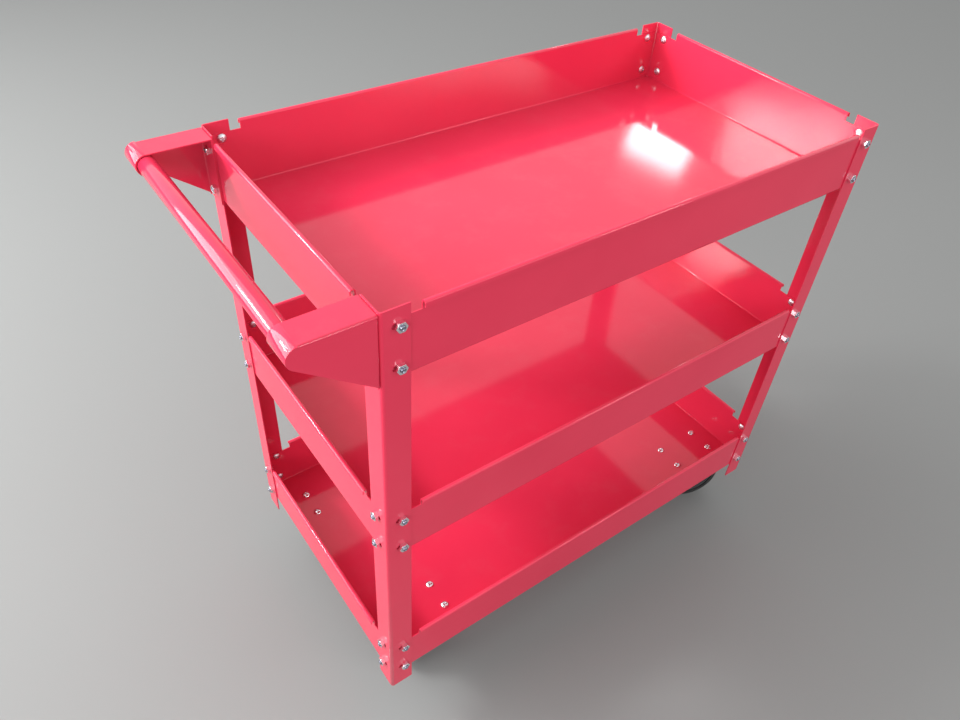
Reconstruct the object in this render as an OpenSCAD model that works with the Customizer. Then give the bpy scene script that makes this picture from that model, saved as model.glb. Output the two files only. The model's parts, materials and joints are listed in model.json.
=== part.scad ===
// Three-shelf rolling utility cart, bolted together from folded sheet steel.
// X runs along the length with the handle at -X, Y across, Z up, wheels on z = 0.
// The origin is the bottom centre of the whole object's box.

/* [Frame] */
// Length over the outer faces of the posts
frame_l = 745; // [640:1:900]
// Width over the outer faces of the posts
frame_w = 406; // [360:1:500]
// Length of each corner post
post_l = 686; // [640:1:760]
// Flange width of the angle posts
flange = 33; // [31:1:38]
// Sheet thickness of the posts
post_t = 1.6; // [1.2:0.1:2.2]
// Outer bend radius of the posts
post_r = 4; // [3:0.5:5]

/* [Trays] */
// Height of the lowest tray's underside above the posts' lower ends
first_tray = 29; // [24:1:36]
// Height from one tray to the next
tray_pitch = 285; // [240:1:300]
// Depth of a tray from its underside to the top of its hem
tray_h = 84; // [80:1:100]
// Sheet thickness of the trays
tray_t = 1.2; // [0.9:0.1:1.4]
// Outer radius of the open hem along each wall
hem_r = 3.1; // [2.6:0.1:4]
// Distance from the posts' outer corner to the end of each hem
hem_setback = 46; // [44:1:60]
// Height of the walls between the hem ends and the corner
low_wall_h = 73; // [72:1:75]

/* [Fasteners] */
// Distance of the bolts from the outer corner of a post
bolt_in = 21; // [20:0.5:22]
// Height of the lower bolts above a tray's underside
bolt_low = 15; // [13:1:18]
// Distance between the lower and the upper bolts
bolt_pitch = 51; // [44:1:52]
// Diameter of the frame and caster bolts
bolt_d = 6; // [5:0.5:6.5]
// Size of the nuts across their flats
nut_af = 11; // [10:0.5:11.5]

/* [Handle] */
// Distance from the posts' end faces to the handle tube's axis
handle_reach = 75.5; // [65:0.5:95]
// Diameter of the handle tube
tube_d = 22; // [20:1:24]
// Width of the brackets' top plates
top_plate_w = 36; // [35:1:40]
// Angle of the brackets' lower edges below the horizontal
gusset_angle = 37.5; // [34:0.5:40]

/* [Casters] */
// Height of a caster from the floor to the top of its plate
caster_h = 124; // [120:1:130]
// Diameter of the wheels
wheel_d = 101.6; // [96:0.1:104]
// Width of the tyres
wheel_w = 30; // [26:1:31]
// Distance from the swivel axis to the wheel axle
swivel_lead = 30; // [26:1:34]
// Angle at which the front right swivel rests
rest_angle_right = -20; // [-45:1:45]
// Angle at which the front left swivel rests
rest_angle_left = 0; // [-45:1:45]
// Distance from the front posts' faces to the front casters' centres
front_inset = 75; // [72:1:90]
// Distance from the rear posts' faces to the rear casters' centres
rear_inset = 84; // [72:1:95]
// Distance from the posts' side faces to the casters' centres
side_inset = 73.5; // [70:0.5:90]

/* [Hidden] */
$fn = 96;
CORNERS = ["rear_right", "rear_left", "front_right", "front_left"];

paint = "crimson";
zinc = "gainsboro";
rubber = [0.11, 0.11, 0.12];
moulding = [0.17, 0.18, 0.2];

// Cutting tools reach this far past the face they open.
cut = 1;
// Diameter added to a bolt's for the round holes and for the posts' slots.
hole_clearance = 0.6;
slot_clearance = 0.8;

// Posts
slot_d = bolt_d + slot_clearance;
// How far the bolts can still move along their slots away from the post's corner.
slot_play = 1;
slot_inner = bolt_in + slot_d / 2 + slot_play;
slot_outer = 12.5;

// Trays
tray_l = frame_l - 2 * post_t;
tray_w = frame_w - 2 * post_t;
tray_bend = 3.2;
// The long walls stop this far short of the end walls' inner faces.
corner_slit = 1.5;
// The end walls stop this far short of the long walls' outer faces.
end_wall_gap = 3;
relief = 6;
relief_hole_r = 4;
hem_lip = 3.4;
hole_d = bolt_d + hole_clearance;

// Handle brackets and tube
bracket_t = 1.5;
bracket_bend = 3;
tube_t = 1.2;
curl_gap = 0.5;
curl_inner = tube_d / 2 + curl_gap;
curl_outer = curl_inner + bracket_t;
// The curl runs from the top plate round the outside of the tube to this angle.
curl_end = 240;
curl_middle = 165;
handle_below_post_top = 15;
plate_end_gap = 0.6;
tab_w = 33;
tab_top_gap = 1.2;

// Fasteners
nut_h = 5;
// Countersink at both ends of a nut's bore.
nut_mouth = 0.4;
// How much lower the rounding leaves a hexagon's corners at its two faces.
hex_corner_cut = 0.4;
bolt_end = 0.5;
end_chamfer = 0.6;
// Hollow that thread rolling leaves in the middle of a bolt's end.
dish_r = 2;
dish_depth = 1;
head_r = 5.8;
head_h = 3.4;
head_edge = 1;
recess_w = 1.3;
recess_l = 6;
recess_depth = 1.8;
joint_t = tray_t + post_t;
shank_l = joint_t + bracket_t + nut_h + bolt_end;
fastener_reach = shank_l - joint_t;

// Placing of the whole object
floor_gap = caster_h - first_tray;
nose_reach = handle_reach + curl_outer;
shift_x = (nose_reach - fastener_reach) / 2;
post_top = floor_gap + post_l;
handle_z = post_top - handle_below_post_top;
tray_z = [for (i = [0 : 2]) caster_h + i * tray_pitch];
bolt_heights = [bolt_low, bolt_low + bolt_pitch];

// Casters, measured down from the top of the plate
plate_l = 100;
plate_w = 62;
plate_t = 2.5;
plate_r = 7;
plate_hole_l = 80;
plate_hole_w = 42;
wheel_r = wheel_d / 2;
axle_drop = caster_h - wheel_r;
fork_t = 2.5;
fork_inner = 17;
fork_bend = 4;
crown_r = 24;
crown_top = 10;
// Heights of the forks' straight shoulders below their crowns.
swivel_shoulder = 16;
rigid_shoulder = 10;
rigid_half_w = crown_r + 4;
race_r = 17;
ball_r = 2.2;
ball_count = 20;
ball_sides = 24;
ball_gap = 0.05;
race_outer_r = 22;
race_bottom = 6.5;
pin_r = 5;
pin_clear = 0.06;
pin_head_r = 9;
pin_head_t = 2;
pin_foot_r = 8.5;
pin_foot_t = 3.5;
crown_clear = 0.4;
fork_foot_r = 12;
axle_r = 4;
sleeve_r = 6;
sleeve_clear = 0.06;
hub_r = 11;
hub_clear = 0.4;
web_t = 6;
rim_inner_r = 35;
tyre_inner_r = 40;
rim_w = wheel_w - 4;
tyre_round = 6;
axle_nut_af = 13;
axle_head_h = 5.3;
axle_nut_h = 6.5;
axle_end = 1.6;
front_x = frame_l / 2 - front_inset;
rear_x = frame_l / 2 - rear_inset;
caster_y = frame_w / 2 - side_inset;

// A hexagon is made with six sides, so its flats lie at the apothem.
function hex_r(across_flats) = across_flats / 2 / cos(30);

// Extrudes a profile drawn in Y and Z along X, centred on x = 0.
module along_x(length) {
    rotate([90, 0, 90]) linear_extrude(length, center = true) children();
}

// Extrudes a profile drawn in X and Z along +Y, from y = 0.
module along_y(length) {
    translate([0, length, 0]) rotate([90, 0, 0]) linear_extrude(length) children();
}

// Quarter of a bent sheet about the origin, in the quadrant turned by the angle.
module bend_quarter(outer, thickness, angle) {
    rotate(angle) intersection() {
        difference() {
            circle(outer);
            circle(outer - thickness);
        }
        square(outer + cut);
    }
}

module rounded_rect(length, width, radius) {
    square([length - 2 * radius, width], center = true);
    square([length, width - 2 * radius], center = true);
    for (x = [-1, 1], y = [-1, 1])
        translate([x * (length / 2 - radius), y * (width / 2 - radius)]) circle(radius);
}

// Cylinder along Y, centred on the origin.
module cylinder_y(radius, length) {
    rotate([90, 0, 0]) cylinder(r = radius, h = length, center = true);
}

// Puts its children at the corner with the given signs, turned into that corner.
module at_corner(sx, sy) {
    translate([shift_x, 0, 0]) mirror([sx > 0 ? 1 : 0, 0, 0]) mirror([0, sy > 0 ? 1 : 0, 0])
        translate([-frame_l / 2, -frame_w / 2, 0]) children();
}

// The bolt places of one corner's chosen flanges, with +Z of the child pointing out through them.
module at_corner_bolts(end_flange, side_flange) {
    for (z = bolt_heights) {
        if (end_flange) translate([0, bolt_in, z]) rotate([0, -90, 0]) children();
        if (side_flange) translate([bolt_in, 0, z]) rotate([90, 0, 0]) children();
    }
}

// ---- Posts ----

module flange_slot() {
    middle = (slot_inner + slot_outer) / 2;
    travel = slot_inner - slot_outer - slot_d;
    depth = 2 * (post_t + cut);
    translate([middle, 0, 0]) rotate([90, 0, 0]) {
        cube([travel, slot_d, depth], center = true);
        for (side = [-1, 1])
            translate([side * travel / 2, 0, 0]) cylinder(d = slot_d, h = depth, center = true);
    }
}

// The slots of one flange, cut only through the sheet along y = 0.
module flange_slots() {
    intersection() {
        for (level = tray_z, z = bolt_heights) translate([0, 0, level + z]) flange_slot();
        translate([0, -cut, 0]) cube([flange, post_t + 2 * cut, 2 * post_top]);
    }
}

module corner_post() {
    difference() {
        translate([0, 0, floor_gap]) linear_extrude(post_l) {
            translate([post_r, 0]) square([flange - post_r, post_t]);
            translate([0, post_r]) square([post_t, flange - post_r]);
            translate([post_r, post_r]) bend_quarter(post_r, post_t, 180);
        }
        flange_slots();
        mirror([1, -1, 0]) flange_slots();
    }
}

// ---- Trays ----

// Fold at the foot of a wall. The wall's outer face is y = 0 and the tray lies at -y.
module wall_fold() {
    translate([-tray_bend, tray_bend]) bend_quarter(tray_bend, tray_t, 270);
    translate([-2 * tray_bend, 0]) square([tray_bend, tray_t]);
}

// Open hem that turns outward along the top of a wall.
module wall_hem() {
    middle = hem_r - tray_t;
    middle_h = tray_h - hem_r;
    translate([-tray_t, low_wall_h - cut]) square([tray_t, middle_h - low_wall_h + cut]);
    translate([middle, middle_h]) {
        bend_quarter(hem_r, tray_t, 0);
        bend_quarter(hem_r, tray_t, 90);
        translate([hem_r - tray_t, -hem_lip]) square([tray_t, hem_lip]);
    }
}

// One folded wall along X whose plate is plate_length long, with its outer face on y = 0.
module tray_wall(plate_length, tray_length) {
    along_x(tray_length - 2 * relief) wall_fold();
    along_x(plate_length) translate([-tray_t, tray_bend]) square([tray_t, low_wall_h - tray_bend]);
    along_x(tray_length + 2 * post_t - 2 * hem_setback) wall_hem();
}

module tray_body() {
    difference() {
        translate([0, 0, tray_t / 2])
            cube([tray_l - 2 * tray_bend, tray_w - 2 * tray_bend, tray_t], center = true);
        for (x = [-1, 1], y = [-1, 1])
            translate([x * (tray_l / 2 - tray_bend), y * (tray_w / 2 - tray_bend), -cut])
                cylinder(r = relief_hole_r, h = tray_t + 2 * cut);
    }
    for (side = [0, 1]) {
        mirror([0, side, 0]) translate([0, tray_w / 2, 0])
            tray_wall(tray_l - 2 * (tray_t + corner_slit), tray_l);
        mirror([side, 0, 0]) rotate([0, 0, -90]) translate([0, tray_l / 2, 0])
            tray_wall(tray_w - 2 * end_wall_gap, tray_w);
    }
}

module tray() {
    difference() {
        tray_body();
        for (x = [-1, 1], z = bolt_heights) translate([x * (frame_l / 2 - bolt_in), 0, z])
            cylinder_y(hole_d / 2, frame_w);
        for (y = [-1, 1], z = bolt_heights) translate([0, y * (frame_w / 2 - bolt_in), z])
            rotate([0, 0, 90]) cylinder_y(hole_d / 2, frame_l);
    }
}

module placed_tray(level) {
    color(paint) translate([shift_x, 0, tray_z[level]]) difference() {
        tray();
        if (level == 0) at_caster_holes()
            cylinder(d = hole_d, h = 2 * (tray_t + cut), center = true);
    }
}

// ---- Fasteners ----

// Pan head with a cross recess, its underside on z = 0 and its top facing -z.
module pan_head() {
    dome_r = (head_r * head_r + pow(head_h - head_edge, 2)) / (2 * (head_h - head_edge));
    difference() {
        intersection() {
            translate([0, 0, -head_h]) cylinder(r = head_r, h = head_h);
            translate([0, 0, dome_r - head_h]) sphere(dome_r);
        }
        for (turn = [0, 90]) rotate(turn) translate([0, 0, -head_h])
            cube([recess_l, recess_w, 2 * recess_depth], center = true);
    }
}

// Bolt whose shank ends in a chamfer round a hollow.
module bolt(length) {
    hollow_r = (dish_r * dish_r + dish_depth * dish_depth) / (2 * dish_depth);
    pan_head();
    difference() {
        union() {
            cylinder(d = bolt_d, h = length - end_chamfer);
            translate([0, 0, length - end_chamfer])
                cylinder(d1 = bolt_d, d2 = bolt_d - 2 * end_chamfer, h = end_chamfer);
        }
        translate([0, 0, length + hollow_r - dish_depth]) sphere(hollow_r);
    }
}

// Hexagon whose outer corners are rounded off as on a turned nut.
module hex_body(across_flats, height) {
    intersection() {
        cylinder(r = hex_r(across_flats), h = height, $fn = 6);
        translate([0, 0, height / 2])
            sphere(norm([hex_r(across_flats) - hex_corner_cut, height / 2]));
    }
}

module hex_nut(across_flats, height, bore_r) {
    difference() {
        hex_body(across_flats, height);
        translate([0, 0, -cut]) cylinder(r = bore_r, h = height + 2 * cut);
        for (end = [0, 1]) translate([0, 0, end * height]) mirror([0, 0, 1 - end])
            translate([0, 0, -nut_mouth])
                cylinder(r1 = bore_r, r2 = bore_r + nut_mouth + cut, h = nut_mouth + cut);
    }
}

// The handle brackets' tabs lift the nuts of the top tray's rear end flanges.
module at_tray_nuts(level) {
    for (sx = [-1, 1], sy = [-1, 1]) at_corner(sx, sy) translate([0, 0, tray_z[level]]) {
        lift = level == 2 && sx < 0 ? bracket_t : 0;
        at_corner_bolts(true, false) translate([0, 0, lift]) children();
        at_corner_bolts(false, true) children();
    }
}

module tray_bolts(level) {
    color(zinc) for (sx = [-1, 1], sy = [-1, 1]) at_corner(sx, sy)
        translate([0, 0, tray_z[level]]) at_corner_bolts(true, true)
            translate([0, 0, -joint_t]) bolt(shank_l);
}

module tray_nuts(level) {
    color(zinc) at_tray_nuts(level) hex_nut(nut_af, nut_h, bolt_d / 2);
}

// ---- Handle ----

module nose_outline() {
    translate([-handle_reach, handle_z]) circle(curl_outer);
}

// Side view of a bracket: level top edge, round nose, straight sloping lower edge.
module bracket_outline() {
    nose_x = -handle_reach - curl_outer * sin(gusset_angle);
    nose_z = handle_z - curl_outer * cos(gusset_angle);
    nose_outline();
    polygon([
        [0, handle_z + curl_outer],
        [-handle_reach, handle_z + curl_outer],
        [-handle_reach, handle_z],
        [nose_x, nose_z],
        [0, nose_z + nose_x * tan(gusset_angle)]
    ]);
}

// Bent cross-section of a bracket: the side plate on y = 0 and the top plate to +y.
module bracket_channel() {
    top = handle_z + curl_outer;
    square([bracket_t, top - bracket_bend]);
    translate([bracket_bend, top - bracket_bend]) bend_quarter(bracket_bend, bracket_t, 90);
    translate([bracket_bend, top - bracket_t]) square([top_plate_w - bracket_bend, bracket_t]);
}

// End of the top plate that rolls down round the outside of the tube.
module bracket_curl() {
    far = 4 * curl_outer;
    translate([-handle_reach, handle_z]) intersection() {
        difference() {
            circle(curl_outer);
            circle(curl_inner);
        }
        polygon([
            for (angle = [90, curl_middle, curl_end]) far * [cos(angle), sin(angle)],
            [0, 0]
        ]);
    }
}

// Mounting tab that lies on the post's end flange, with its bend to the side plate.
module bracket_tab() {
    low_z = handle_z - curl_outer * cos(gusset_angle)
        - (handle_reach + curl_outer * sin(gusset_angle)) * tan(gusset_angle);
    high_z = handle_z + curl_inner - tab_top_gap;
    translate([0, 0, low_z]) linear_extrude(high_z - low_z) {
        translate([-bracket_bend, bracket_bend]) bend_quarter(bracket_bend, bracket_t, 270);
        translate([-bracket_t, bracket_bend]) square([bracket_t, tab_w - bracket_bend]);
    }
}

// The side plate stops at the tab's bend, and only the top plate runs on to the post.
module bracket_extent() {
    reach = 2 * nose_reach;
    translate([-reach, -cut, 0]) cube([reach - bracket_bend, reach, 2 * post_top]);
    translate([-reach, -cut, handle_z + curl_inner - cut / 2]) cube([reach, reach, reach]);
}

module bracket_body() {
    difference() {
        union() {
            intersection() {
                translate([-nose_reach / 2 - plate_end_gap, 0, 0]) along_x(nose_reach)
                    bracket_channel();
                along_y(top_plate_w) bracket_outline();
                bracket_extent();
            }
            along_y(top_plate_w) bracket_curl();
            bracket_tab();
        }
        translate([0, 0, tray_z[2]]) at_corner_bolts(true, false)
            cylinder(d = hole_d, h = 2 * (bracket_t + cut), center = true);
    }
}

module bracket(side) {
    color(paint) at_corner(-1, side) bracket_body();
}

module handle_tube() {
    length = frame_w - 2 * bracket_t;
    color(paint) translate([shift_x - frame_l / 2 - handle_reach, 0, handle_z]) difference() {
        cylinder_y(tube_d / 2, length);
        cylinder_y(tube_d / 2 - tube_t, length + 2 * cut);
    }
}

// ---- Casters ----
// Each caster is drawn about its own plate's centre, with the plate's top on z = 0.

module at_caster(corner) {
    front = corner == "front_right" || corner == "front_left";
    right = corner == "front_right" || corner == "rear_right";
    x = front ? front_x : -rear_x;
    translate([shift_x + x, right ? -caster_y : caster_y, caster_h]) children();
}

// The part of a caster that carries the wheel, turned to its resting angle.
module at_fork(corner) {
    angle = corner == "front_right" ? rest_angle_right : corner == "front_left" ? rest_angle_left : 0;
    at_caster(corner) rotate(angle) children();
}

// The wheel's centre. On a rigid caster it is right under the plate.
module at_wheel(corner) {
    front = corner == "front_right" || corner == "front_left";
    at_fork(corner) translate([front ? swivel_lead : 0, 0, -axle_drop]) children();
}

module at_plate_holes() {
    for (x = [-1, 1], y = [-1, 1])
        translate([x * plate_hole_l / 2, y * plate_hole_w / 2, 0]) children();
}

// Caster bolt places as seen from the bottom tray's own origin.
module at_caster_holes() {
    for (y = [-1, 1]) {
        translate([front_x, y * caster_y, 0]) at_plate_holes() children();
        translate([-rear_x, y * caster_y, 0]) at_plate_holes() children();
    }
}

module plate_blank() {
    translate([0, 0, -plate_t]) difference() {
        linear_extrude(plate_t) rounded_rect(plate_l, plate_w, plate_r);
        translate([0, 0, -cut]) at_plate_holes() cylinder(d = hole_d, h = plate_t + 2 * cut);
    }
}

// Plate with a pressed ring that holds the balls and a sunk seat for the kingpin's head.
module swivel_plate(corner) {
    color(zinc) at_caster(corner) difference() {
        union() {
            plate_blank();
            translate([0, 0, -race_bottom]) cylinder(r = race_outer_r, h = race_bottom - cut / 2);
        }
        // Cup over the balls.
        translate([0, 0, -race_bottom]) rotate_extrude()
            translate([race_r, 0]) circle(ball_r + ball_gap);
        translate([0, 0, -pin_head_t]) cylinder(r = pin_head_r, h = pin_head_t + cut);
        translate([0, 0, -race_bottom - cut]) cylinder(r = pin_r, h = race_bottom + 2 * cut);
    }
}

// Riveted kingpin: sunk head above, shank through the plate and the fork, foot below.
module kingpin(corner) {
    foot_z = crown_top + fork_t + crown_clear;
    color(zinc) at_caster(corner) {
        translate([0, 0, -pin_head_t]) cylinder(r = pin_head_r, h = pin_head_t);
        translate([0, 0, -foot_z]) cylinder(r = pin_r, h = foot_z);
        translate([0, 0, -foot_z - pin_foot_t]) cylinder(r = pin_foot_r, h = pin_foot_t);
    }
}

module race_balls(corner) {
    color(zinc) at_caster(corner) for (i = [0 : ball_count - 1]) rotate(i * 360 / ball_count)
        translate([race_r, 0, -race_bottom]) sphere(ball_r, $fn = ball_sides);
}

// Cross-section of a fork in Y and Z: a flat crown and two legs with round bends.
module fork_section(top) {
    outer = fork_inner + fork_t;
    leg_foot = axle_drop + fork_foot_r;
    translate([-outer + fork_bend, -top - fork_t]) square([2 * (outer - fork_bend), fork_t]);
    for (side = [0, 1]) mirror([side, 0]) {
        translate([outer - fork_bend, -top - fork_bend]) bend_quarter(fork_bend, fork_t, 0);
        translate([fork_inner, -leg_foot]) square([fork_t, leg_foot - top - fork_bend]);
    }
}

// Side view of a fork's legs above the axle, as wide as the crown and narrowing to the foot.
module leg_outline(lead, half_width, shoulder) {
    polygon([
        [-half_width, 0],
        [half_width, 0],
        [half_width, -shoulder],
        [lead + fork_foot_r, -axle_drop],
        [lead - fork_foot_r, -axle_drop],
        [-half_width, -shoulder]
    ]);
}

module fork_legs(top, lead, half_width, shoulder) {
    outer = fork_inner + fork_t;
    intersection() {
        along_x(4 * crown_r) fork_section(top);
        // The round foot at the axle joins the legs as a solid of its own, so each fork stays one piece.
        translate([0, -outer - cut, 0]) {
            along_y(2 * (outer + cut)) translate([lead, -axle_drop]) circle(fork_foot_r);
            along_y(2 * (outer + cut)) leg_outline(lead, half_width, shoulder);
        }
    }
}

// Swivel fork with a round crown and a pressed ring under the balls.
module swivel_fork(corner) {
    ring_top = race_bottom + crown_clear;
    color(zinc) at_fork(corner) difference() {
        union() {
            fork_legs(crown_top, swivel_lead, crown_r - cut, crown_top + swivel_shoulder);
            translate([0, 0, -crown_top - fork_t]) cylinder(r = crown_r, h = fork_t);
            translate([0, 0, -crown_top - fork_t / 2])
                cylinder(r = race_outer_r, h = crown_top + fork_t / 2 - ring_top);
        }
        translate([0, 0, -race_bottom]) rotate_extrude()
            translate([race_r, 0]) circle(ball_r + ball_gap);
        translate([0, 0, -2 * crown_top]) cylinder(r = pin_r + pin_clear, h = 2 * crown_top);
        translate([swivel_lead, 0, -axle_drop]) cylinder_y(axle_r, 4 * fork_inner);
    }
}

module rigid_plate(corner) {
    color(zinc) at_caster(corner) plate_blank();
}

module rigid_fork(corner) {
    color(zinc) at_fork(corner) difference() {
        fork_legs(plate_t, 0, rigid_half_w, plate_t + rigid_shoulder);
        translate([0, 0, -axle_drop]) cylinder_y(axle_r, 4 * fork_inner);
    }
}

// Spacer tube that the fork's legs clamp and the wheel turns on.
module sleeve(corner) {
    color(zinc) at_wheel(corner) difference() {
        cylinder_y(sleeve_r, 2 * fork_inner);
        cylinder_y(axle_r, 3 * fork_inner);
    }
}

// Moulded wheel centre, drawn in section: hub, web and rim.
module wheel_core(corner) {
    hub_half = fork_inner - hub_clear;
    bore = sleeve_r + sleeve_clear;
    color(moulding) at_wheel(corner) rotate([90, 0, 0]) rotate_extrude() {
        translate([bore, -hub_half]) square([hub_r - bore, 2 * hub_half]);
        translate([hub_r - cut, -web_t / 2]) square([rim_inner_r - hub_r + 2 * cut, web_t]);
        translate([rim_inner_r, -rim_w / 2]) square([tyre_inner_r - rim_inner_r, rim_w]);
    }
}

module tyre(corner) {
    depth = wheel_r - tyre_inner_r;
    color(rubber) at_wheel(corner) rotate([90, 0, 0]) rotate_extrude() intersection() {
        translate([wheel_r - depth, 0]) rounded_rect(2 * depth, wheel_w, tyre_round);
        translate([tyre_inner_r, -wheel_w]) square([2 * depth, 2 * wheel_w]);
    }
}

// Hexagon-headed axle bolt. Its head is on the -Y side and its nut on the +Y side.
module axle(corner) {
    outer = fork_inner + fork_t;
    length = 2 * outer + axle_nut_h + axle_end;
    color(zinc) at_wheel(corner) translate([0, -outer, 0]) {
        rotate([-90, 0, 0]) cylinder(r = axle_r, h = length);
        rotate([90, 0, 0]) hex_body(axle_nut_af, axle_head_h);
    }
}

module axle_nut(corner) {
    color(zinc) at_wheel(corner) translate([0, fork_inner + fork_t, 0])
        rotate([-90, 0, 0]) hex_nut(axle_nut_af, axle_nut_h, axle_r);
}

module at_caster_bolts() {
    for (corner = CORNERS) at_caster(corner) at_plate_holes() children();
}

module caster_bolts() {
    color(zinc) at_caster_bolts() translate([0, 0, tray_t]) mirror([0, 0, 1])
        bolt(tray_t + plate_t + nut_h + bolt_end);
}

module caster_nuts() {
    color(zinc) at_caster_bolts() translate([0, 0, -plate_t - nut_h])
        hex_nut(nut_af, nut_h, bolt_d / 2);
}

module post(sx, sy) {
    color(paint) at_corner(sx, sy) corner_post();
}

post(-1, -1);  // post_rear_right
post(-1, 1);  // post_rear_left
post(1, -1);  // post_front_right
post(1, 1);  // post_front_left
placed_tray(2);  // tray_top
placed_tray(1);  // tray_middle
placed_tray(0);  // tray_bottom
tray_bolts(2);  // bolts_top
tray_bolts(1);  // bolts_middle
tray_bolts(0);  // bolts_bottom
tray_nuts(2);  // nuts_top
tray_nuts(1);  // nuts_middle
tray_nuts(0);  // nuts_bottom
bracket(-1);  // bracket_right
bracket(1);  // bracket_left
handle_tube();
caster_bolts();
caster_nuts();
swivel_plate("front_right");  // swivel_plate_right
swivel_plate("front_left");  // swivel_plate_left
kingpin("front_right");  // kingpin_right
kingpin("front_left");  // kingpin_left
race_balls("front_right");  // race_balls_right
race_balls("front_left");  // race_balls_left
swivel_fork("front_right");  // swivel_fork_right
swivel_fork("front_left");  // swivel_fork_left
rigid_plate("rear_right");  // rigid_plate_right
rigid_plate("rear_left");  // rigid_plate_left
rigid_fork("rear_right");  // rigid_fork_right
rigid_fork("rear_left");  // rigid_fork_left
sleeve("front_right");  // sleeve_front_right
sleeve("front_left");  // sleeve_front_left
sleeve("rear_right");  // sleeve_rear_right
sleeve("rear_left");  // sleeve_rear_left
wheel_core("front_right");  // core_front_right
wheel_core("front_left");  // core_front_left
wheel_core("rear_right");  // core_rear_right
wheel_core("rear_left");  // core_rear_left
tyre("front_right");  // tyre_front_right
tyre("front_left");  // tyre_front_left
tyre("rear_right");  // tyre_rear_right
tyre("rear_left");  // tyre_rear_left
axle("front_right");  // axle_front_right
axle("front_left");  // axle_front_left
axle("rear_right");  // axle_rear_right
axle("rear_left");  // axle_rear_left
axle_nut("front_right");  // axle_nut_front_right
axle_nut("front_left");  // axle_nut_front_left
axle_nut("rear_right");  // axle_nut_rear_right
axle_nut("rear_left");  // axle_nut_rear_left
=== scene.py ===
"""Looks of the rolling utility cart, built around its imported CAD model."""
import json
import math

import bpy
from mathutils import Matrix, Vector

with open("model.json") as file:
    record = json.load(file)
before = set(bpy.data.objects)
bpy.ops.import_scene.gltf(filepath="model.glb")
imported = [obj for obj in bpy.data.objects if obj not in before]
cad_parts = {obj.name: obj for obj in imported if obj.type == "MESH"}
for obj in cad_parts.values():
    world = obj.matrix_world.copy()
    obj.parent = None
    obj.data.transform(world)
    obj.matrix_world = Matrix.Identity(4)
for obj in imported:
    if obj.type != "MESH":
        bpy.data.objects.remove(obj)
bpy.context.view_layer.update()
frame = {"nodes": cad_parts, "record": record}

MM = 0.001
# The outer faces of the posts, from the middle of the trays.
POST_MIDDLE_X = 40.75 * MM
POST_REACH_X = 372.5 * MM
POST_REACH_Y = 203.0 * MM


# ---- Materials ----

# Most of a noise pattern lies between these values.
NOISE_RANGE = (0.3, 0.7)
WHOLE = (0.0, 1.0)

ENAMEL_DEEP = (0.67, 0.027, 0.073, 1)
ENAMEL_BRIGHT = (0.71, 0.033, 0.082, 1)
DUST_ON_ENAMEL = (0.62, 0.30, 0.30, 1)
ZINC_DULL = (0.78, 0.78, 0.83, 1)
ZINC_BRIGHT = (0.93, 0.93, 0.96, 1)
BOLT_DULL = (0.62, 0.63, 0.68, 1)
BOLT_BRIGHT = (0.84, 0.84, 0.88, 1)
# Painted shade for the bolt ends past the posts: a dark blue-grey standing in for shade and
# dark reflection, not the zinc's own colour.
BOLT_END_SHADE_DULL = (0.22, 0.23, 0.29, 1)
BOLT_END_SHADE_BRIGHT = (0.38, 0.39, 0.47, 1)
RUBBER_CLEAN = (0.018, 0.018, 0.019, 1)
RUBBER_SCUFFED = (0.045, 0.043, 0.041, 1)
MOULDING_DARK = (0.040, 0.041, 0.044, 1)
MOULDING_LIGHT = (0.055, 0.056, 0.060, 1)
FLOOR_GREY = (0.215, 0.219, 0.216, 1)


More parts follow.
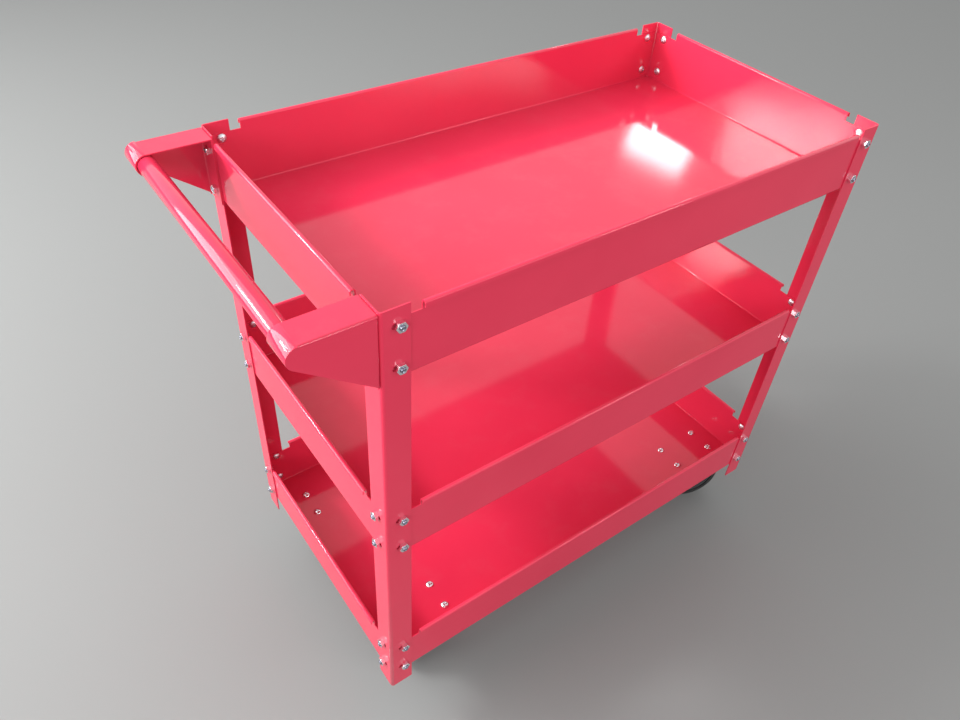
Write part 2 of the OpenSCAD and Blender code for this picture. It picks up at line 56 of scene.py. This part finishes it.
class Graph:
    """A material's node tree, with short calls for the nodes used here."""

    def __init__(self, name):
        self.material = bpy.data.materials.new(name)
        self.material.use_nodes = True
        self.tree = self.material.node_tree
        self.tree.nodes.clear()
        output = self.node("OutputMaterial")
        self.shader = self.node("BsdfPrincipled")
        self.link(self.shader.outputs["BSDF"], output.inputs["Surface"])
        self.place = self.node("TexCoord").outputs["Object"]

    def node(self, kind):
        return self.tree.nodes.new("ShaderNode" + kind)

    def link(self, source, target):
        self.tree.links.new(source, target)

    def set(self, **values):
        for name, value in values.items():
            self.shader.inputs[name.replace("_", " ")].default_value = value

    def feed(self, name, source):
        self.link(source, self.shader.inputs[name])

    def noise(self, scale, detail=3.0, roughness=0.5):
        node = self.node("TexNoise")
        node.inputs["Scale"].default_value = scale
        node.inputs["Detail"].default_value = detail
        node.inputs["Roughness"].default_value = roughness
        self.link(self.place, node.inputs["Vector"])
        return node.outputs["Fac"]

    def ramp(self, source, between, to):
        """Maps the first pair of values onto the second, and holds the ends."""
        node = self.node("MapRange")
        for name, value in zip(("From Min", "From Max", "To Min", "To Max"), between + to):
            node.inputs[name].default_value = value
        self.link(source, node.inputs["Value"])
        return node.outputs["Result"]

    def math(self, operation, *values):
        node = self.node("Math")
        node.operation = operation
        for socket, value in zip(node.inputs, values):
            if isinstance(value, float):
                socket.default_value = value
            else:
                self.link(value, socket)
        return node.outputs[0]

    def mix(self, share, a, b):
        """Colour a where share is nought, colour b where it is one."""
        node = self.node("Mix")
        node.data_type = "RGBA"
        for socket, value in zip([s for s in node.inputs if s.type == "RGBA"], (a, b)):
            if isinstance(value, tuple):
                socket.default_value = value
            else:
                self.link(value, socket)
        factor = [s for s in node.inputs if s.name == "Factor" and s.type == "VALUE"][0]
        self.link(share, factor)
        return [s for s in node.outputs if s.type == "RGBA"][0]

    def bump(self, height, strength, distance, before=None):
        node = self.node("Bump")
        node.inputs["Strength"].default_value = strength
        node.inputs["Distance"].default_value = distance
        self.link(height, node.inputs["Height"])
        if before is not None:
            self.link(before, node.inputs["Normal"])
        return node.outputs["Normal"]

    def split(self, vector):
        node = self.node("SeparateXYZ")
        self.link(vector, node.inputs["Vector"])
        return node.outputs

    def up_facing(self):
        return self.split(self.node("NewGeometry").outputs["Normal"])["Z"]

    def outside(self, middle_x, reach_x, reach_y):
        """One outside the upright box of these half sizes, nought inside it."""
        place = self.split(self.place)
        from_middle = self.math("SUBTRACT", place["X"], middle_x)
        past_x = self.math("SUBTRACT", self.math("ABSOLUTE", from_middle), reach_x)
        past_y = self.math("SUBTRACT", self.math("ABSOLUTE", place["Y"]), reach_y)
        return self.math("GREATER_THAN", self.math("MAXIMUM", past_x, past_y), 0.0)


def red_enamel():
    """Red enamel under one gloss layer: orange peel, faint waviness, dust and dull specks."""
    g = Graph("red_enamel")
    tone = g.ramp(g.noise(7.0, 4.0), NOISE_RANGE, WHOLE)
    colour = g.mix(tone, ENAMEL_DEEP, ENAMEL_BRIGHT)
    dust_patches = g.ramp(g.noise(22.0, 6.0, 0.65), (0.50, 0.80), (0.0, 0.05))
    upward = g.ramp(g.up_facing(), (0.6, 1.0), WHOLE)
    dust = g.math("MULTIPLY", dust_patches, upward)
    g.feed("Base Color", g.mix(dust, colour, DUST_ON_ENAMEL))
    g.feed("Roughness", g.ramp(g.noise(7.0, 4.0, 0.55), (0.35, 0.75), (0.30, 0.42)))
    specks = g.ramp(g.noise(60.0, 3.0, 0.5), (0.60, 0.80), (0.0, 0.12))
    g.feed("Coat Weight", g.math("SUBTRACT", 1.0, specks))
    waves = g.bump(g.noise(7.0, 0.0), 0.05, 2.0 * MM)
    peel = g.bump(g.noise(380.0, 2.0, 0.5), 0.10, 0.2 * MM, waves)
    g.feed("Normal", peel)
    g.feed("Coat Normal", peel)
    # The coat alone reflects, so the enamel under it has no gloss of its own.
    g.set(Specular_IOR_Level=0.0, Coat_Roughness=0.09, Coat_IOR=1.5)
    return g.material


def cloudy_plating(name):
    """Metal with fine turning marks, and how cloudy its plating is from place to place."""
    g = Graph(name)
    g.feed("Normal", g.bump(g.noise(900.0, 2.0), 0.12, 0.1 * MM))
    g.set(Metallic=1.0)
    return g, g.ramp(g.noise(160.0, 4.0), NOISE_RANGE, WHOLE)


def bright_zinc():
    g, cloud = cloudy_plating("bright_zinc")
    g.feed("Base Color", g.mix(cloud, ZINC_DULL, ZINC_BRIGHT))
    g.feed("Roughness", g.ramp(g.noise(420.0, 3.0), NOISE_RANGE, (0.10, 0.24)))
    return g.material


def bolt_zinc():
    """Zinc-plated bolts, with painted shade: the ends that stand out past the posts are
    coloured a dark blue-grey for the shade and dark reflection at the middle of each nut.
    """
    g, cloud = cloudy_plating("bolt_zinc")
    # Painted shade: the bolt ends outside the posts' box get the dark blue-grey and a little
    # less roughness.
    painted_shade = g.outside(POST_MIDDLE_X, POST_REACH_X, POST_REACH_Y)
    plate = g.mix(cloud, BOLT_DULL, BOLT_BRIGHT)
    dark = g.mix(cloud, BOLT_END_SHADE_DULL, BOLT_END_SHADE_BRIGHT)
    g.feed("Base Color", g.mix(painted_shade, plate, dark))
    g.feed("Roughness", g.ramp(painted_shade, WHOLE, (0.32, 0.26)))
    return g.material


def tyre_rubber():
    g = Graph("tyre_rubber")
    scuff = g.ramp(g.noise(60.0, 5.0, 0.6), (0.45, 0.75), WHOLE)
    g.feed("Base Color", g.mix(scuff, RUBBER_CLEAN, RUBBER_SCUFFED))
    g.feed("Roughness", g.ramp(g.noise(35.0, 3.0), NOISE_RANGE, (0.55, 0.8)))
    g.feed("Normal", g.bump(g.noise(700.0, 3.0), 0.25, 0.2 * MM))
    return g.material


def wheel_moulding():
    g = Graph("wheel_moulding")
    tone = g.ramp(g.noise(40.0, 3.0), NOISE_RANGE, WHOLE)
    g.feed("Base Color", g.mix(tone, MOULDING_DARK, MOULDING_LIGHT))
    g.feed("Roughness", g.ramp(g.noise(80.0, 3.0), NOISE_RANGE, (0.38, 0.52)))
    g.feed("Normal", g.bump(g.noise(1200.0, 2.0), 0.10, 0.1 * MM))
    return g.material


MATERIALS = {
    "red_enamel": red_enamel(),
    "zinc": bright_zinc(),
    "bolts": bolt_zinc(),
    "tyre_rubber": tyre_rubber(),
    "wheel_moulding": wheel_moulding(),
}
TRAY_BOLTS = ("bolts_top", "bolts_middle", "bolts_bottom")
SLOT_OF = {s["node"]: s["material_slot"] for s in frame["record"]["subparts"]}


# ---- Eased edges ----

# How far the sharp sheet and turned edges are eased, by material slot.
EASE = {"red_enamel": 0.30 * MM, "zinc": 0.18 * MM, "wheel_moulding": 0.5 * MM}
EASE_SEGMENTS = 2
SHARP_ANGLE = math.radians(40)
# Facets of one flat face are joined first, so that the eased edges don't crease it.
FLAT_ANGLE = math.radians(0.5)
WELD_REACH = 0.002 * MM


def ease_edges(node, width):
    weld = node.modifiers.new("weld", "WELD")
    weld.merge_threshold = WELD_REACH
    merge = node.modifiers.new("merge", "DECIMATE")
    merge.decimate_type = "DISSOLVE"
    merge.angle_limit = FLAT_ANGLE
    ease = node.modifiers.new("ease", "BEVEL")
    ease.width = width
    ease.segments = EASE_SEGMENTS
    ease.limit_method = "ANGLE"
    ease.angle_limit = SHARP_ANGLE
    ease.harden_normals = True


for node_name, node in frame["nodes"].items():
    slot_name = SLOT_OF[node_name]
    looks_like = "bolts" if node_name in TRAY_BOLTS else slot_name
    node.data.materials.clear()
    node.data.materials.append(MATERIALS[looks_like])
    if slot_name in EASE:
        ease_edges(node, EASE[slot_name])


# ---- Floor, light and camera ----

FLOOR_SIZE = 40
FLOOR_ROUGHNESS = 0.8

# The lights stand about this point, in the middle of the cart.
MIDDLE = Vector((0.05, 0.0, 0.45))
LIGHT_DISTANCE = 3.2
WORLD_STRENGTH = 0.90
# Name, width and height in metres, watts, and direction as seen from the middle. The panels are
# small and bright: the inner walls mirror them by way of the tray floors.
LIGHTS = (
    ("back_left", (3.4, 2.2), 128, (-1.0, 0.66, 0.52)),
    ("back_left_high", (2.0, 1.4), 20, (-0.8, 0.8, 1.3)),
    ("near_side", (2.6, 1.2), 9, (0.15, -1.0, 0.45)),
    ("left_panel", (0.60, 0.42), 48, (-0.72, 0.47, 0.525)),
    ("near_left_panel", (1.6, 0.8), 24, (-0.76, -0.53, 0.385)),
    ("right_panel", (0.6, 0.3), 6, (0.467, -0.777, 0.423)),
    ("far_right_panel", (0.5, 0.35), 6, (0.60, -0.69, 0.404)),
)
# The window is seen in the top tray's floor, just over the rim of its far end.
WINDOW_SIZE = (0.39, 0.27)
WINDOW_POWER = 3.8
WINDOW_CENTRE = (3.055, 2.305, 2.43)
WINDOW_DIRECTION = (0.478, 0.400, 0.783)
WINDOW_WIDTH_ALONG = (0.433, -0.883, 0.187)

CAMERA_PLACE = (-0.5927, -0.6770, 1.2213)
CAMERA_RIGHT = Vector((0.80903, -0.58452, 0.06166))
CAMERA_UP = Vector((0.35430, 0.56869, 0.74233))
SENSOR_WIDTH = 36.0
LENS = 30.10
SHIFT_X = -0.0070
SHIFT_Y = -0.0048
CLIP_START = 0.01


def plain_floor():
    bpy.ops.mesh.primitive_plane_add(size=FLOOR_SIZE)
    floor = bpy.context.object
    floor.name = "floor"
    g = Graph("pale_floor")
    g.set(Base_Color=FLOOR_GREY, Roughness=FLOOR_ROUGHNESS)
    floor.data.materials.append(g.material)


def turned(right, up, place):
    """The placing of something with these right and up directions."""
    turn = Matrix((right, up, right.cross(up))).transposed()
    return Matrix.Translation(place) @ turn.to_4x4()


def area_light(name, size, power, centre, away, across=None):
    """A rectangular light that shines against away, its width level or along across."""
    data = bpy.data.lights.new(name, "AREA")
    data.shape = "RECTANGLE"
    data.size, data.size_y = size
    data.energy = power
    lamp = bpy.data.objects.new(name, data)
    bpy.context.scene.collection.objects.link(lamp)
    away = Vector(away).normalized()
    along = Vector(across) if across else Vector((0, 0, 1)).cross(away)
    along = (along - along.dot(away) * away).normalized()
    lamp.matrix_world = turned(along, away.cross(along), centre)


def studio():
    world = bpy.data.worlds.new("studio")
    bpy.context.scene.world = world
    world.use_nodes = True
    background = world.node_tree.nodes["Background"]
    background.inputs["Color"].default_value = (1.0, 1.0, 1.0, 1)
    background.inputs["Strength"].default_value = WORLD_STRENGTH
    for name, size, power, direction in LIGHTS:
        centre = MIDDLE + LIGHT_DISTANCE * Vector(direction).normalized()
        area_light(name, size, power, centre, direction)
    area_light("window", WINDOW_SIZE, WINDOW_POWER, WINDOW_CENTRE, WINDOW_DIRECTION,
               WINDOW_WIDTH_ALONG)


def matched_camera():
    data = bpy.data.cameras.new("camera")
    data.sensor_width = SENSOR_WIDTH
    data.lens = LENS
    data.shift_x, data.shift_y = SHIFT_X, SHIFT_Y
    data.clip_start = CLIP_START
    camera = bpy.data.objects.new("camera", data)
    bpy.context.scene.collection.objects.link(camera)
    camera.matrix_world = turned(CAMERA_RIGHT, CAMERA_UP, CAMERA_PLACE)
    bpy.context.scene.camera = camera


plain_floor()
studio()
matched_camera()
bpy.context.scene.view_settings.view_transform = "Standard"
